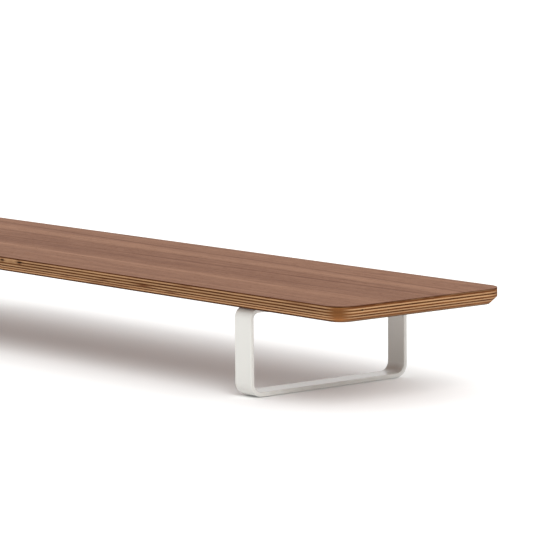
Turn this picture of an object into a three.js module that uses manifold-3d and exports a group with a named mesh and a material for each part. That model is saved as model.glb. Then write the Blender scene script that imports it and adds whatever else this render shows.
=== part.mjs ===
// A low free-standing shelf: a long plywood board with a walnut veneer on both faces, standing on two legs.
// Each leg is one flat steel bar bent into a closed rounded loop. Machine screws run up through the loop's
// top bar into threaded inserts in the board's underside, and thin pads keep the steel off the table.
//
// Millimetres. X runs along the board, Y from its front edge to its back edge, Z up.
// The origin is on the table, under the middle of the board.
import * as THREE from 'three';
import { mergeVertices } from 'three/addons/utils/BufferGeometryUtils.js';
import Module from 'manifold-3d';

// Board
const BOARD_LENGTH = 1200;
const BOARD_DEPTH = 252;
const BOARD_CORNER_RADIUS = 25;
const BEVEL_INSET = 9; // the edge is cut back under the board all round, by this much
const BEVEL_HEIGHT = 8.625; // and this high

// The layers' thicknesses are exact in binary, so stacked layers share their faces exactly.
const VENEER = 0.5;
const TOP_PLY = 19 / 16;
const INNER_PLY = 53 / 32;
const BOTTOM_PLY = 61 / 32;
const PLY_COUNT = 11;
const DRILLED_PLIES = 6; // how many plies, from below, the insert holes go through

// Legs
const LEG_HEIGHT = 102;
const LEG_DEPTH = 238;
const LEG_CENTRE_FROM_END = 176;
const LEG_TOP_RADIUS = 12; // outside the bends under the board
const LEG_FOOT_RADIUS = 16.5; // outside the bends on the table
const BAR_WIDTH = 29;
const BAR_THICKNESS = 5;

// Foot pads
const PAD_THICKNESS = 0.75;
const PAD_WIDTH = 20;
const PAD_LENGTH = 40;
const PAD_CORNER_RADIUS = 4;
const PAD_FROM_MIDDLE = 78;

// M5 button-head screws and their inserts
const SCREW_ROWS = [-82, -30, 30, 82]; // places along the leg's top bar, from its middle
const SCREW_RADIUS = 2.25;
const SCREW_LENGTH = 14;
const HEAD_RADIUS = 4.75;
const HEAD_HEIGHT = 2.75;
const SOCKET_ACROSS_FLATS = 3;
const SOCKET_DEPTH = 1.5;
const CLEARANCE_HOLE_RADIUS = 2.75;
const INSERT_RADIUS = 4;
const INSERT_BORE_RADIUS = 2.5;
const INSERT_LENGTH = 9.5;
const INSERT_CHAMFER = 0.4;
const INSERT_RECESS = 0.25; // how far the insert sits above the board's underside
const INSERT_HOLE_RADIUS = 4.3;

// Fineness
const BOARD_CORNER_STEPS = 8;
const LEG_CORNER_STEPS = 7;
const PAD_CORNER_STEPS = 3;
const ROUND_STEPS = 12;

// Levels
const BOARD_BOTTOM = PAD_THICKNESS + LEG_HEIGHT;
const BEVEL_TOP = BOARD_BOTTOM + BEVEL_HEIGHT;
const HEAD_SEAT = BOARD_BOTTOM - BAR_THICKNESS;
const LEG_X = BOARD_LENGTH / 2 - LEG_CENTRE_FROM_END;

const wasm = await Module();
wasm.setup();

// Materials
function material(color, roughness, metalness) {
  return new THREE.MeshStandardMaterial({ color, roughness, metalness });
}

const WALNUT = material('#97705f', 0.55, 0);
const LIGHT_PLY = material('#b98f6c', 0.6, 0);
const DARK_PLY = material('#79502f', 0.65, 0);
const WHITE_STEEL = material('#e3e2dc', 0.45, 0.1);
const BRIGHT_STEEL = material('#c4c6c8', 0.3, 1);
const BRASS = material('#c9a858', 0.35, 1);
const RUBBER = material('#d9d8d2', 0.7, 0);

// Outlines

// A rounded rectangle about the origin, counter-clockwise.
function roundedRectangle(halfX, halfY, radius, steps, lowerRadius = radius) {
  const points = [];
  const quarters = [
    [1, 1],
    [-1, 1],
    [-1, -1],
    [1, -1],
  ];
  quarters.forEach(([sideX, sideY], quarter) => {
    const bend = sideY > 0 ? radius : lowerRadius;
    for (let step = 0; step <= steps; step += 1) {
      const angle = (quarter + step / steps) * (Math.PI / 2);
      const x = sideX * (halfX - bend) + bend * Math.cos(angle);
      const y = sideY * (halfY - bend) + bend * Math.sin(angle);
      points.push(new THREE.Vector2(x, y));
    }
  });
  return points;
}

// A circle, clockwise, as a hole in an outline runs.
function roundHole(x, y, radius) {
  const points = [];
  for (let step = 0; step < ROUND_STEPS; step += 1) {
    const angle = (-step / ROUND_STEPS) * Math.PI * 2;
    points.push(new THREE.Vector2(x + radius * Math.cos(angle), y + radius * Math.sin(angle)));
  }
  return points;
}

// The board's outline at a level: its full size above the bevel, and drawn in evenly below.
function boardOutline(z) {
  const inset = (Math.max(0, BEVEL_TOP - z) * BEVEL_INSET) / BEVEL_HEIGHT;
  return roundedRectangle(
    BOARD_LENGTH / 2 - inset,
    BOARD_DEPTH / 2 - inset,
    BOARD_CORNER_RADIUS - inset,
    BOARD_CORNER_STEPS,
  );
}

// Solids

// A closed solid through outlines at rising levels, which all have the same number of points.
// Its holes go straight through.
function loft(levels, outlineAt, holes) {
  const layers = levels.map((z) => ({ z, loops: [outlineAt(z), ...holes] }));
  const loopStarts = [];
  const positions = [];
  layers.forEach(({ z, loops }) => {
    const starts = [];
    loops.forEach((loop) => {
      starts.push(positions.length / 3);
      loop.forEach((point) => positions.push(point.x, point.y, z));
    });
    loopStarts.push(starts);
  });

  const index = [];
  for (let layer = 0; layer + 1 < layers.length; layer += 1) {
    layers[layer].loops.forEach((loop, number) => {
      const below = loopStarts[layer][number];
      const above = loopStarts[layer + 1][number];
      for (let i = 0; i < loop.length; i += 1) {
        const next = (i + 1) % loop.length;
        index.push(below + i, below + next, above + next);
        index.push(below + i, above + next, above + i);
      }
    });
  }

  const bottom = layers[0];
  const top = layers[layers.length - 1];
  const topStart = loopStarts[layers.length - 1][0];
  THREE.ShapeUtils.triangulateShape(bottom.loops[0], holes).forEach(([a, b, c]) => {
    index.push(c, b, a);
  });
  THREE.ShapeUtils.triangulateShape(top.loops[0], holes).forEach(([a, b, c]) => {
    index.push(topStart + a, topStart + b, topStart + c);
  });

  const geometry = new THREE.BufferGeometry();
  geometry.setAttribute('position', new THREE.Float32BufferAttribute(positions, 3));
  geometry.setIndex(index);
  return geometry;
}

// A profile of [radius, height] points turned about the Z axis.
function turned(profile, steps = ROUND_STEPS) {
  const points = profile.map(([radius, height]) => new THREE.Vector2(radius, height));
  const geometry = new THREE.LatheGeometry(points, steps);
  const yUpToZUp = new THREE.Matrix4().makeBasis(
    new THREE.Vector3(1, 0, 0),
    new THREE.Vector3(0, 0, 1),
    new THREE.Vector3(0, -1, 0),
  );
  return geometry.applyMatrix4(yUpToZUp);
}

function toSolid(geometry) {
  const bare = geometry.clone();
  bare.deleteAttribute('normal');
  bare.deleteAttribute('uv');
  const merged = mergeVertices(bare);
  return new wasm.Manifold(
    new wasm.Mesh({
      numProp: 3,
      vertProperties: merged.attributes.position.array,
      triVerts: new Uint32Array(merged.index.array),
    }),
  );
}

function toGeometry(solid) {
  const { vertProperties, triVerts } = solid.getMesh();
  const geometry = new THREE.BufferGeometry();
  geometry.setAttribute('position', new THREE.BufferAttribute(vertProperties, 3));
  geometry.setIndex(new THREE.BufferAttribute(triVerts, 1));
  return geometry;
}

function cut(geometry, cutters) {
  return toGeometry(cutters.reduce((solid, cutter) => solid.subtract(toSolid(cutter)), toSolid(geometry)));
}

function addPiece(group, name, geometry, look) {
  const mesh = new THREE.Mesh(geometry, look);
  mesh.name = name;
  mesh.geometry.computeVertexNormals();
  group.add(mesh);
  return mesh;
}

// Board

function plyThickness(number) {
  if (number === 1) {
    return TOP_PLY;
  }
  return number === PLY_COUNT ? BOTTOM_PLY : INNER_PLY;
}

// The layers from the bottom up, each with its name, thickness, material and whether the inserts pass it.
function boardLayers() {
  const layers = [{ name: 'walnut_veneer_bottom', thickness: VENEER, look: WALNUT, drilled: true }];
  for (let number = PLY_COUNT; number >= 1; number -= 1) {
    layers.push({
      name: `core_ply_${String(number).padStart(2, '0')}`,
      thickness: plyThickness(number),
      look: number % 2 ? DARK_PLY : LIGHT_PLY,
      drilled: number > PLY_COUNT - DRILLED_PLIES,
    });
  }
  layers.push({ name: 'walnut_veneer_top', thickness: VENEER, look: WALNUT, drilled: false });
  return layers;
}

function addBoard(group) {
  const insertHoles = [-LEG_X, LEG_X].flatMap((x) =>
    SCREW_ROWS.map((y) => roundHole(x, y, INSERT_HOLE_RADIUS)),
  );
  let bottom = BOARD_BOTTOM;
  boardLayers().forEach(({ name, thickness, look, drilled }) => {
    const top = bottom + thickness;
    const levels = bottom < BEVEL_TOP && BEVEL_TOP < top ? [bottom, BEVEL_TOP, top] : [bottom, top];
    addPiece(group, name, loft(levels, boardOutline, drilled ? insertHoles : []), look);
    bottom = top;
  });
}

// Legs

// The loop stands in the YZ plane, with its bar's width along X and its middle at x = 0.
function legGeometry() {
  const halfDepth = LEG_DEPTH / 2;
  const halfHeight = LEG_HEIGHT / 2;
  const outside = roundedRectangle(
    halfDepth,
    halfHeight,
    LEG_TOP_RADIUS,
    LEG_CORNER_STEPS,
    LEG_FOOT_RADIUS,
  );
  const inside = roundedRectangle(
    halfDepth - BAR_THICKNESS,
    halfHeight - BAR_THICKNESS,
    LEG_TOP_RADIUS - BAR_THICKNESS,
    LEG_CORNER_STEPS,
    LEG_FOOT_RADIUS - BAR_THICKNESS,
  );
  const section = new THREE.Shape(outside);
  section.holes.push(new THREE.Path(inside));
  const loop = new THREE.ExtrudeGeometry(section, { depth: BAR_WIDTH, bevelEnabled: false });
  const standing = new THREE.Matrix4().makeBasis(
    new THREE.Vector3(0, 1, 0),
    new THREE.Vector3(0, 0, 1),
    new THREE.Vector3(1, 0, 0),
  );
  loop.applyMatrix4(standing);
  loop.translate(-BAR_WIDTH / 2, 0, PAD_THICKNESS + halfHeight);

  const drill = [
    [0, -BAR_THICKNESS],
    [CLEARANCE_HOLE_RADIUS, -BAR_THICKNESS],
    [CLEARANCE_HOLE_RADIUS, BAR_THICKNESS],
    [0, BAR_THICKNESS],
  ];
  const barMiddle = BOARD_BOTTOM - BAR_THICKNESS / 2;
  return cut(
    loop,
    SCREW_ROWS.map((y) => turned(drill).translate(0, y, barMiddle)),
  );
}

// A button-head screw with its head's seat at z = 0 and its shank up.
function screwGeometry() {
  const profile = [
    [0, -HEAD_HEIGHT],
    [2.4, -HEAD_HEIGHT],
    [3.8, -2.1],
    [4.55, -1.1],
    [HEAD_RADIUS, -0.3],
    [HEAD_RADIUS, 0],
    [SCREW_RADIUS, 0],
    [SCREW_RADIUS, SCREW_LENGTH - 0.6],
    [SCREW_RADIUS - 0.6, SCREW_LENGTH],
    [0, SCREW_LENGTH],
  ];
  const socketRadius = SOCKET_ACROSS_FLATS / Math.sqrt(3);
  const socket = [
    [0, -HEAD_HEIGHT - 1],
    [socketRadius, -HEAD_HEIGHT - 1],
    [socketRadius, -HEAD_HEIGHT + SOCKET_DEPTH],
    [0, -HEAD_HEIGHT + SOCKET_DEPTH],
  ];
  return cut(turned(profile), [turned(socket, 6)]);
}

// A threaded insert with its lower end at z = 0.
function insertGeometry() {
  return turned([
    [INSERT_BORE_RADIUS, 0],
    [INSERT_RADIUS - INSERT_CHAMFER, 0],
    [INSERT_RADIUS, INSERT_CHAMFER],
    [INSERT_RADIUS, INSERT_LENGTH - INSERT_CHAMFER],
    [INSERT_RADIUS - INSERT_CHAMFER, INSERT_LENGTH],
    [INSERT_BORE_RADIUS, INSERT_LENGTH],
    [INSERT_BORE_RADIUS, 0],
  ]);
}

function padGeometry() {
  const outline = roundedRectangle(
    PAD_WIDTH / 2,
    PAD_LENGTH / 2,
    PAD_CORNER_RADIUS,
    PAD_CORNER_STEPS,
  );
  return new THREE.ExtrudeGeometry(new THREE.Shape(outline), {
    depth: PAD_THICKNESS,
    bevelEnabled: false,
  });
}

function addLeg(group, side, x) {
  addPiece(group, `leg_loop_${side}`, legGeometry(), WHITE_STEEL).position.set(x, 0, 0);
  SCREW_ROWS.forEach((y, row) => {
    const screw = addPiece(group, `leg_screw_${side}_${row + 1}`, screwGeometry(), BRIGHT_STEEL);
    screw.position.set(x, y, HEAD_SEAT);
    const insert = addPiece(group, `threaded_insert_${side}_${row + 1}`, insertGeometry(), BRASS);
    insert.position.set(x, y, BOARD_BOTTOM + INSERT_RECESS);
  });
  [
    ['front', -PAD_FROM_MIDDLE],
    ['back', PAD_FROM_MIDDLE],
  ].forEach(([end, y]) => {
    addPiece(group, `foot_pad_${side}_${end}`, padGeometry(), RUBBER).position.set(x, y, 0);
  });
}

const shelf = new THREE.Group();
addBoard(shelf);
addLeg(shelf, 'left', -LEG_X);
addLeg(shelf, 'right', LEG_X);

export default shelf;
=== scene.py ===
import math

import bmesh
import bpy
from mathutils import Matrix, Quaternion, Vector
from mathutils.geometry import tessellate_polygon


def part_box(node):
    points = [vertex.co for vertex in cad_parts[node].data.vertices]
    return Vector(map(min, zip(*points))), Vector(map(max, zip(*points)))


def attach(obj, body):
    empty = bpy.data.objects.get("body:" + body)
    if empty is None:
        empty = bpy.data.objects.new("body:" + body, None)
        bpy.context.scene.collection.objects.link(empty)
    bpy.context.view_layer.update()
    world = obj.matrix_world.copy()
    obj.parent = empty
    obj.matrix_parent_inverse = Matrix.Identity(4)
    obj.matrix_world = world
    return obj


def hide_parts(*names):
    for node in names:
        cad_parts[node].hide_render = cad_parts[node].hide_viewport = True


# A long low shelf: a plywood board with walnut veneer on both faces, on two legs bent from flat steel bar.
# Shapes are in metres in the CAD frame: X along the board, Y towards its back edge, Z up. Lengths inside the
# materials are in millimetres.

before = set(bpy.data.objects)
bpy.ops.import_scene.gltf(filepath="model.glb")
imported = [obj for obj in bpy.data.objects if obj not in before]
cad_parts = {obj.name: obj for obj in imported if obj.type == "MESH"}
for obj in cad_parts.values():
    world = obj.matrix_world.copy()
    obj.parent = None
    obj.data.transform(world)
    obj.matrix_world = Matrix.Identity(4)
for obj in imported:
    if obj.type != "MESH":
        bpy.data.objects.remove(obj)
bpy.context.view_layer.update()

MM = 0.001
SIDES = ("left", "right")
PLY_COUNT = 11
DRILLED_PLIES = 6
SCREWS_PER_LEG = 4

# Shapes that a box can't give
BOARD_CORNER_RADIUS = 25 * MM
BOARD_CORNER_STEPS = 22
BEVEL_EASE = 2.0 * MM
UNDERSIDE_EASE = 0.2 * MM
TOP_EASE = 0.3 * MM
EASE_STEPS = 4
INSERT_HOLE_RADIUS = 4.3 * MM
HOLE_STEPS = 28
CLEARANCE_HOLE_RADIUS = 2.75 * MM
CLEARANCE_HOLE_STEPS = 32
BAR_THICKNESS = 5 * MM
BAR_EASE = 1.0 * MM
BAR_EASE_STEPS = 5
LEG_TOP_RADIUS = 12 * MM
LEG_FOOT_RADIUS = 16.5 * MM
LEG_CORNER_STEPS = 16
# The weld's ground bead: place along the bar from its middle, and height
WELD_BEAD = tuple(
    (place * MM, height * MM)
    for place, height in ((3.5, 0), (2.2, 0.09), (0.8, 0.16), (-0.8, 0.16), (-2.2, 0.09), (-3.5, 0))
)

# How meshes are joined and shaded
MERGE_DISTANCE = 1e-7
LEVEL_TOLERANCE = 1e-6
SHARP_ANGLE = 35
THREAD_SHARP_ANGLE = 50
FLAT_FACE_WEIGHT = 90

# Small gaps where two strips of a layer don't meet: layer, edge, place along the edge, width and depth.
# The last three are in metres.
VOIDS = (
    (3, "front", 0.0020, 0.0095, 0.0070),
    (3, "front", -0.0340, 0.0065, 0.0070),
    (4, "right", -0.0920, 0.0036, 0.0030),
    (6, "right", -0.0540, 0.0014, 0.0010),
    (7, "front", 0.4980, 0.0016, 0.0012),
    (5, "front", -0.3300, 0.0060, 0.0025),
    (9, "back", -0.1900, 0.0065, 0.0028),
    (3, "back", 0.3100, 0.0050, 0.0025),
    (8, "left", 0.0450, 0.0050, 0.0025),
)


# ---------------------------------------------------------------- outlines and meshes


def rounded_rectangle(half_x, half_y, radius, steps):
    """Points of a rounded rectangle about the origin, counter-clockwise from its right side."""
    points = []
    for quarter, (side_x, side_y) in enumerate(((1, 1), (-1, 1), (-1, -1), (1, -1))):
        for step in range(steps + 1):
            angle = (quarter + step / steps) * math.pi / 2
            x = side_x * (half_x - radius) + radius * math.cos(angle)
            y = side_y * (half_y - radius) + radius * math.sin(angle)
            points.append((x, y))
    return points


def circle(x, y, radius, steps):
    turns = [2 * math.pi * step / steps for step in range(steps)]
    return [(x + radius * math.cos(t), y + radius * math.sin(t)) for t in turns]


def fillet(before, corner, after, radius, steps):
    """Points of the arc that rounds a corner between two straight runs."""
    before, corner, after = Vector(before), Vector(corner), Vector(after)
    into, out = (before - corner).normalized(), (after - corner).normalized()
    half_angle = into.angle(out) / 2
    reach = radius / math.tan(half_angle)
    centre = corner + (into + out).normalized() * (radius / math.sin(half_angle))
    start, end = corner + into * reach - centre, corner + out * reach - centre
    sweep = math.pi - 2 * half_angle
    points = []
    for step in range(steps + 1):
        share = step / steps
        a = math.sin((1 - share) * sweep) / math.sin(sweep)
        b = math.sin(share * sweep) / math.sin(sweep)
        points.append(tuple(centre + start * a + end * b))
    return points


def shade_smooth(mesh, sharp_angle=SHARP_ANGLE):
    """Smooth shading that keeps edges sharp where faces meet at more than an angle in degrees."""
    mesh.shade_smooth()
    mesh.set_sharp_from_angle(angle=math.radians(sharp_angle))


def mesh_object(name, vertices, faces, sharp_angle=SHARP_ANGLE):
    mesh = bpy.data.meshes.new(name)
    mesh.from_pydata([tuple(v) for v in vertices], [], faces)
    mesh.validate()
    shell = bmesh.new()
    shell.from_mesh(mesh)
    bmesh.ops.remove_doubles(shell, verts=shell.verts, dist=MERGE_DISTANCE)
    bmesh.ops.recalc_face_normals(shell, faces=shell.faces)
    shell.to_mesh(mesh)
    shell.free()
    shade_smooth(mesh, sharp_angle)
    piece = bpy.data.objects.new(name, mesh)
    bpy.context.scene.collection.objects.link(piece)
    return piece


def flatten_large_faces(piece):
    """Keeps the shading of large flat faces flat where they meet a small rounded edge."""
    weighted = piece.modifiers.new("flat_faces", "WEIGHTED_NORMAL")
    weighted.mode = "FACE_AREA"
    weighted.weight = FLAT_FACE_WEIGHT
    weighted.keep_sharp = True


def skin(rings, closed=False):
    """Vertices and faces of a surface through rings of equal length, capped at both ends unless closed."""
    count = len(rings[0])
    vertices = [point for ring in rings for point in ring]
    faces = []
    pairs = len(rings) if closed else len(rings) - 1
    for ring in range(pairs):
        lower, upper = ring * count, ((ring + 1) % len(rings)) * count
        for i in range(count):
            j = (i + 1) % count
            faces.append((lower + i, lower + j, upper + j, upper + i))
    if not closed:
        faces.append(tuple(reversed(range(count))))
        faces.append(tuple(range((len(rings) - 1) * count, len(rings) * count)))
    return vertices, faces


def apply_cut(piece, cutters):
    """Cuts solids out of a piece, and removes them."""
    for cutter in cutters:
        cut = piece.modifiers.new("cut", "BOOLEAN")
        cut.operation = "DIFFERENCE"
        cut.solver = "EXACT"
        cut.object = cutter
    bpy.context.view_layer.update()
    evaluated = piece.evaluated_get(bpy.context.evaluated_depsgraph_get())
    mesh = bpy.data.meshes.new_from_object(evaluated)
    piece.modifiers.clear()
    piece.data = mesh
    for cutter in cutters:
        bpy.data.objects.remove(cutter)
    shade_smooth(mesh)


def board_profile():
    """The board's edge in section, from its underside to its top, as points of inset and height."""
    top_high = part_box("walnut_veneer_top")[1]
    # Two layers on the bevel give its slope, because each one is widest at its top.
    upper_high, lower_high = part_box("core_ply_08")[1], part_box("core_ply_10")[1]
    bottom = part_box("walnut_veneer_bottom")[0].z
    upper_inset, lower_inset = top_high.x - upper_high.x, top_high.x - lower_high.x
    slope = (lower_inset - upper_inset) / (upper_high.z - lower_high.z)
    bevel_top = upper_high.z + upper_inset / slope
    bottom_inset = (bevel_top - bottom) * slope
    straight = 20 * MM
    far_under, foot = (bottom_inset + straight, bottom), (bottom_inset, bottom)
    knee, rim, far_top = (0.0, bevel_top), (0.0, top_high.z), (straight, top_high.z)
    edge = (
        fillet(far_under, foot, knee, UNDERSIDE_EASE, EASE_STEPS)
        + fillet(foot, knee, rim, BEVEL_EASE, EASE_STEPS)
        + fillet(knee, rim, far_top, TOP_EASE, EASE_STEPS)
    )
    return edge, bevel_top, slope


PROFILE, BEVEL_TOP, BEVEL_SLOPE = board_profile()
# The board's back right top corner. Its X and Y are half the board's length and depth.
BOARD_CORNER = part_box("walnut_veneer_top")[1]


# ---------------------------------------------------------------- materials


class Shader:
    """A material with a Principled shader, and short ways to add the nodes that these finishes use.

    Wherever a value goes in, it may be a number, a colour or another node's output.
    """

    def __init__(self, name):
        self.material = bpy.data.materials.new(name)
        self.material.use_nodes = True
        self.tree = self.material.node_tree
        self.tree.nodes.clear()
        self.surface = self.node("ShaderNodeBsdfPrincipled")
        output = self.node("ShaderNodeOutputMaterial")
        self.tree.links.new(self.surface.outputs[0], output.inputs["Surface"])
        place = self.node("ShaderNodeTexCoord").outputs["Object"]
        self.place = self.vector("MULTIPLY", place, (1000, 1000, 1000))
        self.x, self.y, self.z = self.split(self.place)

    def node(self, kind, **settings):
        node = self.tree.nodes.new(kind)
        for setting, value in settings.items():
            setattr(node, setting, value)
        return node

    def feed(self, socket, value):
        if isinstance(value, bpy.types.NodeSocket):
            self.tree.links.new(value, socket)
        elif isinstance(value, tuple) and len(value) == 3 and socket.type == "RGBA":
            socket.default_value = (*value, 1)
        else:
            socket.default_value = value

    def math(self, operation, a, b=0.0, clamp=False):
        node = self.node("ShaderNodeMath", operation=operation, use_clamp=clamp)
        self.feed(node.inputs[0], a)
        self.feed(node.inputs[1], b)
        return node.outputs[0]

    def add(self, *values):
        total = values[0]
        for value in values[1:]:
            total = self.math("ADD", total, value)
        return total

    def times(self, a, b):
        return self.math("MULTIPLY", a, b)

    def vector(self, operation, a, b=(0, 0, 0)):
        node = self.node("ShaderNodeVectorMath", operation=operation)
        self.feed(node.inputs[0], a)
        self.feed(node.inputs[1], b)
        return node.outputs[0]

    def split(self, value):
        node = self.node("ShaderNodeSeparateXYZ")
        self.feed(node.inputs[0], value)
        return node.outputs[:3]

    def normal(self):
        return self.split(self.node("ShaderNodeNewGeometry").outputs["Normal"])

    def range(self, value, low, high, to_low=0.0, to_high=1.0):
        node = self.node("ShaderNodeMapRange", interpolation_type="SMOOTHSTEP")
        for socket, number in zip(node.inputs, (value, low, high, to_low, to_high)):
            self.feed(socket, number)
        return node.outputs[0]

    def bell(self, distance, half_width):
        """A smooth hump, 1 where the distance is 0 and 1/e where it is the half width."""
        spread = self.times(distance, 1 / half_width)
        return self.math("POWER", math.e, self.times(self.times(spread, spread), -1.0))

    def noise(self, lengths, detail=2.0, rough=0.5, seed=0.0, wander=0.0):
        """Noise from 0 to 1 whose features are about as long as lengths, in millimetres."""
        scale = tuple(1 / length for length in lengths)
        scaled = self.vector("MULTIPLY", self.place, scale)
        moved = self.vector("ADD", scaled, (seed * 7.3, seed * 3.1, seed * 5.7))
        node = self.node("ShaderNodeTexNoise", noise_dimensions="3D")
        self.feed(node.inputs["Vector"], moved)
        self.feed(node.inputs["Scale"], 1.0)
        self.feed(node.inputs["Detail"], detail)
        self.feed(node.inputs["Roughness"], rough)
        self.feed(node.inputs["Distortion"], wander)
        return node.outputs[0]

    def mix(self, share, a, b):
        node = self.node("ShaderNodeMix", data_type="RGBA")
        self.feed(node.inputs[0], share)
        self.feed(node.inputs[6], a)
        self.feed(node.inputs[7], b)
        return node.outputs[2]

    def brighten(self, colour, factor):
        node = self.node("ShaderNodeVectorMath", operation="SCALE")
        self.feed(node.inputs[0], colour)
        self.feed(node.inputs["Scale"], factor)
        return node.outputs[0]

    def bump(self, height, distance):
        """The normal of a surface whose height of 0 to 1 stands for a distance in metres."""
        node = self.node("ShaderNodeBump")
        self.feed(node.inputs["Height"], height)
        self.feed(node.inputs["Distance"], distance)
        self.feed(node.inputs["Strength"], 1.0)
        return node.outputs[0]

    def finish(self, colour, roughness, normal, specular=0.5, metallic=0.0):
        self.feed(self.surface.inputs["Base Color"], colour)
        self.feed(self.surface.inputs["Roughness"], roughness)
        self.feed(self.surface.inputs["Normal"], normal)
        self.surface.inputs["Specular IOR Level"].default_value = specular
        self.surface.inputs["Metallic"].default_value = metallic
        return self.material


# Grain bands of the face veneer: place across the board at its middle, in millimetres, how much that
# changes along the board, half width, and how much lighter or darker it is, first along most of the
# board and then near its right end.
GRAIN_BANDS = (
    (112, 0.000, 5, 0.05, 0.05),
    (84, -0.036, 2.4, -0.26, -0.26),
    (61, -0.024, 14, 0.15, 0.12),
    (43, -0.020, 3.0, -0.18, -0.18),
    (27, 0.000, 13, -0.10, -0.05),
    (9, 0.020, 2.8, -0.26, -0.24),
    (-15, -0.008, 20, -0.15, -0.09),
    (-51, -0.016, 4.2, 0.24, 0.02),
    (-62, -0.010, 6, 0.04, 0.10),
    (-97, -0.012, 2.6, -0.10, -0.10),
    (-106, -0.006, 2.0, 0.07, 0.07),
    (-116, -0.006, 2.6, -0.06, -0.06),
)
# The walnut's finer grain: how long its noise is along the board and across it, in millimetres, the noise's
# detail, roughness and seed, and how strongly it shows.
GRAIN_WAVES = {
    "stripes": (300, 6.5, 3, 0.65, 2, 0.45),
    "lines": (170, 2.8, 2, 0.6, 7, 0.50),
    "threads": (40, 1.2, 2, 0.6, 3, 0.55),
    "figure": (60, 22, 3, 0.6, 4, 0.16),
    "flecks": (7, 9, 2, 0.7, 6, 0.22),
}
WALNUT_DARK = (0.093, 0.030, 0.016)
WALNUT_LIGHT = (0.350, 0.190, 0.118)
WALNUT_EDGE = (0.092, 0.032, 0.018)
# Painted shade: the underside veneer's edge faces down, and its colour is a darker copy of the top edge's
UNDERSIDE_EDGE_PAINTED_SHADE = (0.045, 0.022, 0.014)
WALNUT_RELIEF = 0.06 * MM


def broad_bands(shader, seed):
    """How much the grain bands lighten or darken a point of the veneer."""
    wobble = shader.times(shader.add(shader.noise((420, 90, 90), 2, 0.4, seed + 1), -0.5), 16.0)
    across = shader.add(shader.y, wobble)
    tone = 0.0
    for place, slope, width, strength, end_strength in GRAIN_BANDS:
        line = shader.add(shader.times(shader.x, -slope), across, -place)
        local_strength = shader.range(shader.x, 350, 480, strength, end_strength)
        tone = shader.add(tone, shader.times(shader.bell(line, width), local_strength))
    return tone


def walnut_veneer(name, seed, edge):
    """Matt lacquered walnut: slow bands along the board, fine stripes and short dark pores."""
    shader = Shader(name)
    tone = shader.add(1.0, broad_bands(shader, seed))
    waves = {}
    for wave, (length, breadth, detail, rough, wave_seed, strength) in GRAIN_WAVES.items():
        noise = shader.noise((length, breadth, breadth), detail, rough, seed + wave_seed)
        waves[wave] = shader.add(noise, -0.5)
        tone = shader.add(tone, shader.times(waves[wave], strength))
    pores = shader.range(shader.noise((9.0, 0.75, 0.75), 1, 0.5, seed + 5), 0.62, 0.74)
    tone = shader.times(tone, shader.add(1.0, shader.times(pores, -0.30)))
    face_share = shader.math("MULTIPLY", shader.add(tone, -0.5), 1.0, True)
    face = shader.mix(face_share, WALNUT_DARK, WALNUT_LIGHT)
    up = shader.math("ABSOLUTE", shader.normal()[2])
    colour = shader.mix(shader.range(up, 0.82, 0.97), shader.brighten(edge, tone), face)
    height = shader.add(shader.times(waves["threads"], 0.5), shader.times(pores, -1.0))
    roughness = shader.add(0.66, shader.times(waves["stripes"], 0.12), shader.times(pores, 0.10))
    return shader.finish(colour, roughness, shader.bump(height, WALNUT_RELIEF), specular=0.05)


LONG_GRAIN = ((0.40, 0.214, 0.104), (0.48, 0.280, 0.140))
END_GRAIN = ((0.082, 0.024, 0.007), (0.150, 0.059, 0.020))
BURNT_GRAIN = (0.150, 0.050, 0.016)
SLANTED_GRAIN = (0.180, 0.071, 0.023)
# Painted shade: the dark brown laid over the insides of the small gaps, where shade falls
PAINTED_CAVITY_SHADE = (0.024, 0.006, 0.001)
# How light each layer's long grain and end grain are, from the top layer down
LONG_TONES = (0.53, 1.00, 0.96, 0.86, 1.03, 0.87, 0.98, 1.03, 0.93, 1.27, 0.53)
END_TONES = (0.83, 1.30, 0.81, 0.74, 0.90, 1.18, 0.88, 1.02, 1.33, 1.85, 0.86)
# How light each layer is where its grain meets the edge at a slant, at the corners. This is partly each
# layer's own tone and partly painted light: the lower layers, on the bevel that faces down, are made lighter
# for light bounced up from the floor.
SLANTED_TONES_AND_PAINTED_LIGHT = (0.38, 1.20, 1.02, 0.88, 0.92, 1.06, 1.12, 1.30, 1.50, 1.95, 1.15)
# The outermost layers are stained all over, by about this much
STAINED_LAYERS = {1: 0.75, 11: 0.15}
# Stains and turned grain in the long edges: layer, place along the edge and half length in millimetres, and
# strength. They run through the board from its front edge to its back edge. A positive strength is a dark
# stain, and a negative one is end grain that turns light.
SPOTS = {
    2: ((2, 5, 0.6), (-34, 4, 0.5)),
    3: ((-23, 7, -0.9), (-11, 8, -0.9)),
    4: ((2, 5, 0.8), (-34, 4, 0.6)),
    6: ((250, 17, 0.9), (172, 10, 0.5)),
    8: ((300, 12, 0.6), (95, 9, 0.4)),
}
# Keeps a division safe on level faces, whose normals have no sideways part
LEAST_TILT = 0.0005
PLY_RELIEF = 0.10 * MM


def depth_below_edge(shader):
    """How far a point of a layer lies inside the board's edge, in millimetres."""
    half_x, half_y = (BOARD_CORNER.x - BOARD_CORNER_RADIUS) / MM, (BOARD_CORNER.y - BOARD_CORNER_RADIUS) / MM
    past_x = shader.math("MAXIMUM", shader.add(shader.math("ABSOLUTE", shader.x), -half_x), 0.0)
    past_y = shader.math("MAXIMUM", shader.add(shader.math("ABSOLUTE", shader.y), -half_y), 0.0)
    past = shader.math("SQRT", shader.add(shader.times(past_x, past_x), shader.times(past_y, past_y)))
    below_knee = shader.math("MAXIMUM", shader.add(BEVEL_TOP / MM, shader.times(shader.z, -1.0)), 0.0)
    return shader.add(
        BOARD_CORNER_RADIUS / MM, shader.times(past, -1.0), shader.times(below_knee, -BEVEL_SLOPE)
    )


def with_grain(along_y, length, breadth, height):
    """Lengths of a noise that is drawn out along a layer's grain."""
    return (breadth, length, height) if along_y else (length, breadth, height)


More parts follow.
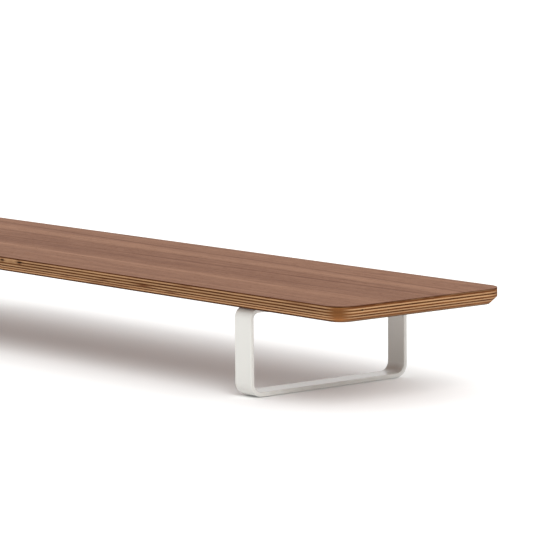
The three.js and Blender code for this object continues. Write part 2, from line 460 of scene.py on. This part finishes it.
def stain_and_spots(shader, number, end):
    """A layer's stain, and its share of end grain with the light spots taken out."""
    patches = shader.range(shader.noise((26, 26, 3), 2, 0.6, number + 77), 0.38, 0.62, 0.55, 1.35)
    stain = shader.times(patches, STAINED_LAYERS.get(number, 0.0))
    for place, half_length, strength in SPOTS.get(number, ()):
        spot = shader.times(shader.bell(shader.add(shader.x, -place), half_length), strength)
        if strength > 0:
            stain = shader.math("MAXIMUM", stain, spot)
        else:
            end = shader.times(end, shader.add(1.0, spot))
    return stain, end


def long_grain(shader, number, along_y, streaks, stain):
    """The light face of a layer cut along its grain, with burnt patches and short dark dashes."""
    blotch = with_grain(along_y, 90, 25, 3)
    blotches = shader.noise(blotch, 2, 0.5, number + 22)
    burnt = shader.range(shader.noise(blotch, 3, 0.6, number + 55), 0.56, 0.72)
    dash_noise = shader.noise(with_grain(along_y, 16, 2.5, 0.55), 2, 0.6, number + 66)
    dashes = shader.range(dash_noise, 0.60, 0.72)
    dark_share = shader.add(shader.times(burnt, 0.55), shader.times(dashes, 0.35))
    stain = shader.math("MAXIMUM", dark_share, stain)
    colour = shader.mix(stain, shader.mix(blotches, *LONG_GRAIN), BURNT_GRAIN)
    tone = shader.add(0.68, shader.times(streaks, 0.42), shader.times(blotches, 0.22))
    colour = shader.brighten(shader.brighten(colour, tone), LONG_TONES[number - 1])
    return colour, blotches


def end_grain(shader, number, fibres):
    """The dark, patchy face of a layer cut across its grain."""
    patches = shader.noise((30, 30, 5), 3, 0.6, number + 44)
    colour = shader.mix(shader.range(patches, 0.3, 0.75), *END_GRAIN)
    tone = shader.add(0.55, shader.times(fibres, 0.7), shader.times(patches, 0.25))
    return shader.brighten(shader.brighten(colour, tone), END_TONES[number - 1])


def add_slanted_grain(shader, number, colour, facing_front, streaks):
    """Lays the tone of slanted grain over the corners.

    It shows from where the front edge starts to turn, and less next to the end edges.
    """
    turn = shader.math("POWER", facing_front, 1.35)
    slant = shader.times(turn, shader.add(1.0, shader.times(turn, -1.0)))
    share = shader.math("MULTIPLY", slant, 4.4, True)
    tone = shader.add(SLANTED_TONES_AND_PAINTED_LIGHT[number - 1] - 0.15, shader.times(streaks, 0.30))
    return shader.mix(share, colour, shader.brighten(SLANTED_GRAIN, tone))


def ply(number, low, high):
    """One layer of the core. Its grain runs along Y in odd layers and along X in even ones, so each edge
    of the board shows light long grain in one layer and dark end grain in the next."""
    shader = Shader(f"ply_{number:02d}")
    along_y = number % 2 == 1
    normal_x, normal_y, _ = shader.normal()
    side_square, front_square = shader.times(normal_x, normal_x), shader.times(normal_y, normal_y)
    tilt = shader.add(side_square, front_square, LEAST_TILT)
    facing_front = shader.math("DIVIDE", front_square, tilt)
    facing_end = facing_front if along_y else shader.math("DIVIDE", side_square, tilt)
    ragged = shader.add(shader.noise((4.0, 4.0, 1.5), 2, 0.6, number), -0.5)
    end = shader.range(shader.add(facing_end, shader.times(ragged, 0.3)), 0.0, 0.95)
    stain, end = stain_and_spots(shader, number, end)

    streaks = shader.noise(with_grain(along_y, 55, 1.2, 0.45), 3, 0.65, number + 11)
    fibres = shader.noise((0.8, 0.8, 0.45), 2, 0.7, number + 33)
    light, blotches = long_grain(shader, number, along_y, streaks, stain)
    colour = shader.mix(end, light, end_grain(shader, number, fibres))
    colour = add_slanted_grain(shader, number, colour, facing_front, streaks)

    # Layers are a little darker at their glue lines. Inside the small gaps the colour goes to a painted
    # shade, a dark brown.
    above_bottom = shader.add(shader.z, -low / MM)
    below_top = shader.add(high / MM, shader.times(shader.z, -1.0))
    glue_line_gap = shader.math("MINIMUM", above_bottom, below_top)
    colour = shader.brighten(colour, shader.range(glue_line_gap, 0.0, 0.2, 0.6, 1.0))
    colour = shader.mix(shader.range(depth_below_edge(shader), 0.2, 1.0), colour, PAINTED_CAVITY_SHADE)
    height = shader.add(shader.times(streaks, 0.4), shader.times(shader.times(fibres, end), 0.8))
    roughness = shader.add(0.55, shader.times(end, 0.12), shader.times(blotches, 0.08))
    return shader.finish(colour, roughness, shader.bump(height, PLY_RELIEF), specular=0.04)


COAT_RELIEF = 0.015 * MM
METAL_RELIEF = 0.02 * MM
PAD_RELIEF = 0.03 * MM


def powder_coat():
    """Warm white powder coat: satin, with a fine orange peel and the least unevenness of tone."""
    shader = Shader("warm_white_powder_coat")
    peel = shader.noise((1.1, 1.1, 1.1), 2, 0.5, 3)
    cloud = shader.noise((40, 40, 40), 2, 0.5, 5)
    specks = shader.range(shader.noise((0.8, 0.8, 0.8), 1, 0.5, 8), 0.74, 0.80)
    colour = shader.mix(cloud, (0.700, 0.692, 0.655), (0.715, 0.707, 0.670))
    colour = shader.brighten(colour, shader.add(1.0, shader.times(specks, -0.10)))
    roughness = shader.add(0.15, shader.times(peel, 0.08))
    return shader.finish(colour, roughness, shader.bump(peel, COAT_RELIEF))


def turned_metal(name, colour, roughness):
    """Bright turned or plated metal with fine rings round its axis and slight stains."""
    shader = Shader(name)
    rings = shader.noise((4.0, 4.0, 0.12), 2, 0.5, 2)
    stains = shader.noise((2.5, 2.5, 2.5), 3, 0.6, 4)
    tone = shader.add(0.86, shader.times(rings, 0.16), shader.times(stains, 0.12))
    rough = shader.add(roughness, shader.times(stains, 0.18))
    normal = shader.bump(rings, METAL_RELIEF)
    return shader.finish(shader.brighten(colour, tone), rough, normal, metallic=1.0)


def silicone():
    """Thin matt pads, faintly cloudy."""
    shader = Shader("matt_silicone")
    cloud = shader.noise((6, 6, 6), 2, 0.5, 6)
    grain = shader.noise((0.5, 0.5, 0.5), 1, 0.5, 7)
    colour = shader.mix(cloud, (0.60, 0.59, 0.55), (0.68, 0.67, 0.63))
    roughness = shader.add(0.55, shader.times(grain, 0.15))
    return shader.finish(colour, roughness, shader.bump(grain, PAD_RELIEF), specular=0.4)


# ---------------------------------------------------------------- pieces


def add_piece(piece, node, material):
    """Puts a finished piece in place of its CAD node."""
    piece.data.materials.clear()
    piece.data.materials.append(material)
    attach(piece, "root")
    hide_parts(node)
    return piece


def board_inset(z):
    """How far the board's edge is set in at a height."""
    for (inset_a, z_a), (inset_b, z_b) in zip(PROFILE, PROFILE[1:]):
        if z <= z_b and z_b > z_a:
            share = max(0.0, (z - z_a) / (z_b - z_a))
            return inset_a + (inset_b - inset_a) * share
    return PROFILE[-1][0]


# A gap's outline: shares of its width from the middle, and of its depth
VOID_SHAPE = ((-0.5, 0.0), (-0.42, 0.8), (-0.1, 1.0), (0.25, 0.85), (0.45, 0.95), (0.5, 0.0))


def notched(points, inset, voids):
    """Adds the small gaps of a layer to its outline."""
    half_x, half_y = BOARD_CORNER.x - inset, BOARD_CORNER.y - inset
    # Each edge: where it lies, the way it runs in the outline, and the way into the board.
    edges = {
        "right": (Vector((half_x, 0)), Vector((0, 1)), Vector((-1, 0))),
        "back": (Vector((0, half_y)), Vector((-1, 0)), Vector((0, -1))),
        "left": (Vector((-half_x, 0)), Vector((0, -1)), Vector((1, 0))),
        "front": (Vector((0, -half_y)), Vector((1, 0)), Vector((0, 1))),
    }
    corner_points = BOARD_CORNER_STEPS + 1
    ends = {"right": 0, "back": corner_points, "left": 2 * corner_points, "front": 3 * corner_points}
    result = [Vector(p) for p in points]
    added = []
    for edge, place, width, depth in voids:
        middle, run, into = edges[edge]
        along = place if edge in ("right", "front") else -place
        shape = VOID_SHAPE
        if edge in ("back", "left"):
            shape = [(-across, deep) for across, deep in reversed(VOID_SHAPE)]
        gap = [middle + run * (along + across * width) + into * (deep * depth) for across, deep in shape]
        added.append((ends[edge], along, gap))
    for start, _, gap in sorted(added, key=lambda item: (-item[0], -item[1])):
        result[start:start] = gap
    return [tuple(p) for p in result]


def layer_sections(low, high):
    """Insets and heights of a layer's outlines, at its two faces and at each point of the edge between."""
    between = [z for _, z in PROFILE if low + LEVEL_TOLERANCE < z < high - LEVEL_TOLERANCE]
    sections = [(board_inset(z), z) for z in (low, *between, high)]
    if high == BOARD_CORNER.z:
        # The eased top edge ends on the flat face, so the last level is the end of that arc.
        sections[-1] = (PROFILE[-1][0], high)
    if low <= PROFILE[0][1] + LEVEL_TOLERANCE:
        sections[0] = (PROFILE[0][0], low)
    return sections


def insert_holes():
    """Outlines of the holes that the inserts sit in."""
    holes = []
    for side in SIDES:
        for number in range(1, SCREWS_PER_LEG + 1):
            bottom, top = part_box(f"threaded_insert_{side}_{number}")
            middle = (bottom + top) / 2
            holes.append(circle(middle.x, middle.y, INSERT_HOLE_RADIUS, HOLE_STEPS))
    return holes


def drill_layer(vertices, faces, lower, upper, holes):
    """Adds the walls of holes through a layer, and its two faces round them."""
    starts = []
    for hole in holes:
        start, count = len(vertices), len(hole)
        starts.append(start)
        vertices += [(x, y, lower[0][2]) for x, y in hole] + [(x, y, upper[0][2]) for x, y in hole]
        for i in range(count):
            j = (i + 1) % count
            faces.append((start + i, start + count + i, start + count + j, start + j))
    upper_start = starts[0] - len(upper)
    for outline, outline_start, is_upper in ((lower, 0, False), (upper, upper_start, True)):
        loops = [[Vector((x, y, 0)) for x, y, _ in outline]]
        index = list(range(outline_start, outline_start + len(outline)))
        for hole, start in zip(holes, starts):
            loops.append([Vector((x, y, 0)) for x, y in hole])
            offset = start + (len(hole) if is_upper else 0)
            index += range(offset, offset + len(hole))
        faces += [tuple(index[i] for i in triangle) for triangle in tessellate_polygon(loops)]


def board_layer(name, node, voids=(), drilled=False):
    """One layer of the board, lofted up its edge profile, with the insert holes if they reach it."""
    low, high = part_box(node)
    outlines = []
    for inset, z in layer_sections(low.z, high.z):
        half_x, half_y = BOARD_CORNER.x - inset, BOARD_CORNER.y - inset
        outline = rounded_rectangle(half_x, half_y, BOARD_CORNER_RADIUS - inset, BOARD_CORNER_STEPS)
        outlines.append([(x, y, z) for x, y in notched(outline, inset, voids)])
    vertices, faces = skin(outlines)
    if drilled:
        del faces[-2:]
        drill_layer(vertices, faces, outlines[0], outlines[-1], insert_holes())
    piece = mesh_object(name, vertices, faces)
    flatten_large_faces(piece)
    return piece


def make_board():
    top = board_layer("veneer_top", "walnut_veneer_top")
    add_piece(top, "walnut_veneer_top", walnut_veneer("walnut_top", 1, WALNUT_EDGE))
    for number in range(1, PLY_COUNT + 1):
        node = f"core_ply_{number:02d}"
        low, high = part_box(node)
        voids = [void[1:] for void in VOIDS if void[0] == number]
        layer = board_layer(f"ply_{number:02d}", node, voids, number > PLY_COUNT - DRILLED_PLIES)
        add_piece(layer, node, ply(number, low.z, high.z))
    under = board_layer("veneer_bottom", "walnut_veneer_bottom", drilled=True)
    # The underside's edge colour is painted shade
    underside = walnut_veneer("walnut_underside", 9, UNDERSIDE_EDGE_PAINTED_SHADE)
    add_piece(under, "walnut_veneer_bottom", underside)


def bar_section():
    """The flat bar's section with eased corners, as points of width and thickness."""
    low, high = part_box("leg_loop_right")
    half_width = (high.x - low.x) / 2
    return rounded_rectangle(half_width, BAR_THICKNESS / 2, BAR_EASE, BAR_EASE_STEPS)


def leg_path(half_y, half_z):
    """The bar's middle line from the top back corner round: points, ways outwards and bead heights."""
    path = []
    for quarter, (side_y, side_z) in enumerate(((1, 1), (-1, 1), (-1, -1), (1, -1))):
        radius = (LEG_TOP_RADIUS if side_z > 0 else LEG_FOOT_RADIUS) - BAR_THICKNESS / 2
        for step in range(LEG_CORNER_STEPS + 1):
            angle = (quarter + step / LEG_CORNER_STEPS) * math.pi / 2
            out = Vector((0, math.cos(angle), math.sin(angle)))
            centre = Vector((0, side_y * (half_y - radius), side_z * (half_z - radius)))
            path.append((centre + out * radius, out, 0.0))
        if quarter == 0:
            # The weld lies across the middle of the top run, and its bead on that run's lower face.
            path += [(Vector((0, place, half_z)), Vector((0, 0, 1)), bead) for place, bead in WELD_BEAD]
    return path


def screw_drills(side, top):
    """Cutters for the clearance holes in a leg's top run."""
    drills = []
    for number in range(1, SCREWS_PER_LEG + 1):
        screw_low, screw_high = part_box(f"leg_screw_{side}_{number}")
        centre = (screw_low + screw_high) / 2
        outline = circle(centre.x, centre.y, CLEARANCE_HOLE_RADIUS, CLEARANCE_HOLE_STEPS)
        bore = [[(x, y, z) for x, y in outline] for z in (top - 2 * BAR_THICKNESS, top + BAR_THICKNESS)]
        drills.append(mesh_object(f"drill_{number}", *skin(bore)))
    return drills


def leg(side):
    """Flat bar bent into a closed rounded loop, welded in the middle of its top run and drilled there."""
    low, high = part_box(f"leg_loop_{side}")
    middle = (low + high) / 2
    half = BAR_THICKNESS / 2
    rings = []
    for centre, out, bead in leg_path((high.y - low.y) / 2 - half, (high.z - low.z) / 2 - half):
        ring = []
        for width, depth in bar_section():
            lift = bead if depth < -half + BAR_EASE else 0.0
            point = middle + centre + out * (depth - lift)
            ring.append(Vector((middle.x + width, point.y, point.z)))
        rings.append(ring)
    piece = mesh_object(f"leg_{side}", *skin(rings, closed=True))
    apply_cut(piece, screw_drills(side, high.z))
    flatten_large_faces(piece)
    return piece


# Screws and inserts, both turned from circles of this many points
SCREW_STEPS = 36
SOCKET_WIDTH = 3 * MM
SOCKET_MOUTH_WIDTH = 3.2 * MM
SOCKET_DEPTH = 1.5 * MM
SOCKET_CHAMFER = 0.12 * MM
SOCKET_TIP_DEPTH = 0.5 * MM
SOCKET_TIP_RADIUS = 0.15 * MM
HEAD_FLAT_RADIUS = 2.45 * MM
HEAD_DOME_REACH = 2.3 * MM
HEAD_DOME_HEIGHT = 2.45 * MM
HEAD_DOME_ANGLE = math.radians(72)
HEAD_DOME_STEPS = 8
HEAD_MOUTH_RIM = 0.15 * MM
HEAD_SEAT_EASE = 0.05 * MM
SCREW_CREST_RADIUS = 2.44 * MM
INSERT_BORE_RADIUS = 2.5 * MM
# Threads: pitch, height from one ring to the next, core radius and crest radius
SCREW_THREAD = (0.8 * MM, 0.1 * MM, 2.05 * MM, SCREW_CREST_RADIUS)
INSERT_THREAD = (2.4 * MM, 0.24 * MM, 3.35 * MM, 4.0 * MM)


def level_ring(centre, radius, z):
    return [(x, y, z) for x, y in circle(centre.x, centre.y, radius, SCREW_STEPS)]


def thread(centre, bottom, top, pitch, rise, core, crest):
    """Rings of a screw thread. Each one's radius runs from core to crest and back once round."""
    rings = []
    z = bottom
    while z < top:
        ring = []
        for step in range(SCREW_STEPS):
            turn = step / SCREW_STEPS
            share = abs(((z / pitch - turn) % 1.0) * 2 - 1)
            share = min(1.0, max(0.0, share * 1.25 - 0.05))
            radius = core + (crest - core) * share
            angle = turn * 2 * math.pi
            ring.append((centre.x + radius * math.cos(angle), centre.y + radius * math.sin(angle), z))
        rings.append(ring)
        z += rise
    return rings


def hexagon_ring(centre, z, across_flats):
    """A hexagon with the same number of points on each side, as a ring round a centre."""
    ring = []
    for step in range(SCREW_STEPS):
        angle = 2 * math.pi * step / SCREW_STEPS
        off_flat = (angle + math.pi / 6) % (math.pi / 3) - math.pi / 6
        radius = across_flats / 2 / math.cos(off_flat)
        ring.append((centre.x + radius * math.cos(angle), centre.y + radius * math.sin(angle), z))
    return ring


def screw_head(centre, bottom, seat):
    """Rings from the socket's tip out over the domed head to the thread."""
    floor = bottom + SOCKET_DEPTH
    rings = [level_ring(centre, SOCKET_TIP_RADIUS, floor + SOCKET_TIP_DEPTH)]
    rings += [hexagon_ring(centre, z, SOCKET_WIDTH) for z in (floor, bottom + SOCKET_CHAMFER)]
    rings.append(hexagon_ring(centre, bottom, SOCKET_MOUTH_WIDTH))
    rings.append(level_ring(centre, HEAD_FLAT_RADIUS - HEAD_MOUTH_RIM, bottom))
    for step in range(HEAD_DOME_STEPS + 1):
        angle = step / HEAD_DOME_STEPS * HEAD_DOME_ANGLE
        reach = HEAD_DOME_REACH * math.sin(angle) / math.sin(HEAD_DOME_ANGLE)
        rise = HEAD_DOME_HEIGHT * (1 - math.cos(angle)) / (1 - math.cos(HEAD_DOME_ANGLE))
        rings.append(level_ring(centre, HEAD_FLAT_RADIUS + reach, bottom + rise))
    rings.append(level_ring(centre, HEAD_FLAT_RADIUS + HEAD_DOME_REACH - HEAD_SEAT_EASE, seat))
    rings.append(level_ring(centre, SCREW_CREST_RADIUS, seat))
    return rings


def screw(side, number):
    """An M5 button-head socket screw, head down, with its thread."""
    low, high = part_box(f"leg_screw_{side}_{number}")
    centre = (low + high) / 2
    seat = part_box(f"leg_loop_{side}")[1].z - BAR_THICKNESS
    thread_bottom, thread_top, tip_bottom = seat + 0.6 * MM, high.z - 0.7 * MM, high.z - 0.6 * MM
    rings = screw_head(centre, low.z, seat) + thread(centre, thread_bottom, thread_top, *SCREW_THREAD)
    rings += [level_ring(centre, 2.0 * MM, tip_bottom), level_ring(centre, 1.6 * MM, high.z)]
    return mesh_object(f"screw_{side}_{number}", *skin(rings), sharp_angle=THREAD_SHARP_ANGLE)


def insert(side, number):
    """A brass insert with a coarse wood thread outside and a plain bore."""
    low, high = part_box(f"threaded_insert_{side}_{number}")
    centre = (low + high) / 2
    chamfer, rim = 0.3 * MM, 0.2 * MM
    mouth = ((INSERT_BORE_RADIUS, low.z + chamfer), (2.8 * MM, low.z), (3.3 * MM, low.z))
    end = ((3.2 * MM, high.z), (2.7 * MM, high.z), (INSERT_BORE_RADIUS, high.z - rim))
    thread_bottom, thread_top = low.z + 0.3 * MM, high.z - 0.4 * MM
    rings = [level_ring(centre, radius, z) for radius, z in mouth]
    rings += thread(centre, thread_bottom, thread_top, *INSERT_THREAD)
    rings += [level_ring(centre, radius, z) for radius, z in end]
    piece_name = f"insert_{side}_{number}"
    return mesh_object(piece_name, *skin(rings, closed=True), sharp_angle=THREAD_SHARP_ANGLE)


PAD_EASE = 0.3 * MM
PAD_EASE_STEPS = 4
PAD_CORNER_RADIUS = 4 * MM
PAD_CORNER_STEPS = 8


def pad(side, end):
    """A thin pad with rounded corners and a soft lower edge."""
    low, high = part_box(f"foot_pad_{side}_{end}")
    middle = (low + high) / 2
    half_x, half_y = (high.x - low.x) / 2, (high.y - low.y) / 2
    rings = []
    for step in range(PAD_EASE_STEPS + 1):
        angle = step / PAD_EASE_STEPS * math.pi / 2
        inset, z = PAD_EASE * (1 - math.sin(angle)), low.z + PAD_EASE * (1 - math.cos(angle))
        radius = PAD_CORNER_RADIUS - inset
        outline = rounded_rectangle(half_x - inset, half_y - inset, radius, PAD_CORNER_STEPS)
        rings.append([(middle.x + x, middle.y + y, z) for x, y in outline])
    rings.append([(x, y, high.z) for x, y, _ in rings[-1]])
    piece = mesh_object(f"pad_{side}_{end}", *skin(rings))
    flatten_large_faces(piece)
    return piece


def make_legs():
    coat, steel = powder_coat(), turned_metal("zinc_plated_steel", (0.62, 0.63, 0.65), 0.28)
    brass, rubber = turned_metal("turned_brass", (0.72, 0.52, 0.24), 0.30), silicone()
    for side in SIDES:
        add_piece(leg(side), f"leg_loop_{side}", coat)
        for number in range(1, SCREWS_PER_LEG + 1):
            add_piece(screw(side, number), f"leg_screw_{side}_{number}", steel)
            add_piece(insert(side, number), f"threaded_insert_{side}_{number}", brass)
        for end in ("front", "back"):
            add_piece(pad(side, end), f"foot_pad_{side}_{end}", rubber)


# ---------------------------------------------------------------- studio

# The photo's camera: degrees to the right of the board's front, degrees of rise and roll, and a long lens
CAMERA_TURN = 50.32
CAMERA_RISE = 7.18
CAMERA_ROLL = -0.50
CAMERA_DISTANCE = 3.843
CAMERA_LENS = 237.3
SENSOR_WIDTH = 36.0
CAMERA_REACH = 100.0
# The point that the camera looks at, from the board's front right top corner
CAMERA_AIM = Vector((-0.0550, -0.0573, 0.0454))

FLOOR_REACH = 30.0
FLOOR_RELIEF = 0.02 * MM
FLOOR_GLOW = 0.06
# How bright the sky is that lights the shelf, level with the floor and overhead
HORIZON_LIGHT = 0.41
ZENITH_LIGHT = 1.22
# Soft suns: degrees right of the board's front, degrees of height, degrees across, and strength
SUNS = {
    "front_right": (66, 44, 36, 1.35),
    "back_right": (130, 42, 50, 0.45),
}
# A softbox behind the shelf, to its left: where it is, where it aims, how wide it is and its power
BACKDROP_PLACE = (-3.4, 2.8, 1.3)
BACKDROP_AIM = (0.3, 0, 0.1)
BACKDROP_WIDTH = 2.6
BACKDROP_POWER = 8


def make_camera():
    turn, rise = math.radians(CAMERA_TURN), math.radians(CAMERA_RISE)
    look = Vector((-math.sin(turn) * math.cos(rise), math.cos(turn) * math.cos(rise), -math.sin(rise)))
    corner = Vector((BOARD_CORNER.x, -BOARD_CORNER.y, BOARD_CORNER.z))
    data = bpy.data.cameras.new("camera")
    data.sensor_width = SENSOR_WIDTH
    data.lens = CAMERA_LENS
    data.clip_end = CAMERA_REACH
    camera = bpy.data.objects.new("camera", data)
    camera.rotation_mode = "QUATERNION"
    roll = Quaternion((0, 0, 1), math.radians(CAMERA_ROLL))
    camera.rotation_quaternion = look.to_track_quat("-Z", "Y") @ roll
    camera.location = corner + CAMERA_AIM - look * CAMERA_DISTANCE
    bpy.context.scene.collection.objects.link(camera)
    bpy.context.scene.camera = camera


def make_floor():
    reach = FLOOR_REACH
    corners = [(-reach, -reach, 0), (reach, -reach, 0), (reach, reach, 0), (-reach, reach, 0)]
    floor = mesh_object("floor", corners, [(0, 1, 2, 3)])
    shader = Shader("pale_floor")
    cloud = shader.noise((900, 900, 900), 2, 0.5, 1)
    colour = shader.mix(cloud, (0.90, 0.90, 0.895), (0.92, 0.92, 0.915))
    normal = shader.bump(shader.noise((3, 3, 3), 2, 0.5, 2), FLOOR_RELIEF)
    # A lit sweep, as on a light table: the floor glows a little, which softens the shadow.
    shader.surface.inputs["Emission Color"].default_value = (1, 1, 1, 1)
    shader.surface.inputs["Emission Strength"].default_value = FLOOR_GLOW
    floor.data.materials.append(shader.finish(colour, 0.9, normal, specular=0.1))


def softbox(name, location, aim, size, power):
    data = bpy.data.lights.new(name, "AREA")
    data.shape = "DISK"
    data.size = size
    data.energy = power
    light = bpy.data.objects.new(name, data)
    light.location = location
    light.visible_camera = False
    light.rotation_mode = "QUATERNION"
    light.rotation_quaternion = (Vector(aim) - Vector(location)).to_track_quat("-Z", "Y")
    bpy.context.scene.collection.objects.link(light)


def soft_sun(name, turn, rise, spread, power):
    """Light from a patch of sky as wide as spread, turned to the right of the board's front."""
    data = bpy.data.lights.new(name, "SUN")
    data.angle = math.radians(spread)
    data.energy = power
    light = bpy.data.objects.new(name, data)
    turn, rise = math.radians(turn), math.radians(rise)
    down = -Vector((math.sin(turn) * math.cos(rise), -math.cos(turn) * math.cos(rise), math.sin(rise)))
    light.rotation_mode = "QUATERNION"
    light.rotation_quaternion = down.to_track_quat("-Z", "Y")
    bpy.context.scene.collection.objects.link(light)


def make_studio():
    make_floor()
    scene = bpy.context.scene
    world = bpy.data.worlds.new("studio")
    world.use_nodes = True
    tree = world.node_tree
    background = tree.nodes["Background"]
    background.inputs["Color"].default_value = (1.0, 1.0, 1.0, 1)
    # Like a large overhead softbox: bright from above, falling off towards the horizon.
    direction = tree.nodes.new("ShaderNodeTexCoord").outputs["Generated"]
    height = tree.nodes.new("ShaderNodeSeparateXYZ")
    tree.links.new(direction, height.inputs[0])
    falloff = tree.nodes.new("ShaderNodeMapRange")
    for socket, value in zip(falloff.inputs[1:5], (0.0, 1.0, HORIZON_LIGHT, ZENITH_LIGHT)):
        socket.default_value = value
    tree.links.new(height.outputs["Z"], falloff.inputs["Value"])
    # The camera itself sees plain white past the floor's far edge.
    seen = tree.nodes.new("ShaderNodeMix")
    seen.data_type = "FLOAT"
    seen.inputs[3].default_value = 1.0
    tree.links.new(tree.nodes.new("ShaderNodeLightPath").outputs["Is Camera Ray"], seen.inputs[0])
    tree.links.new(falloff.outputs[0], seen.inputs[2])
    tree.links.new(seen.outputs[0], background.inputs["Strength"])
    scene.world = world
    scene.view_settings.view_transform = "Standard"
    scene.view_settings.look = "None"
    for name, (turn, rise, spread, power) in SUNS.items():
        soft_sun(name, turn, rise, spread, power)
    softbox("backdrop", BACKDROP_PLACE, BACKDROP_AIM, BACKDROP_WIDTH, BACKDROP_POWER)


make_camera()
make_board()
make_legs()
make_studio()
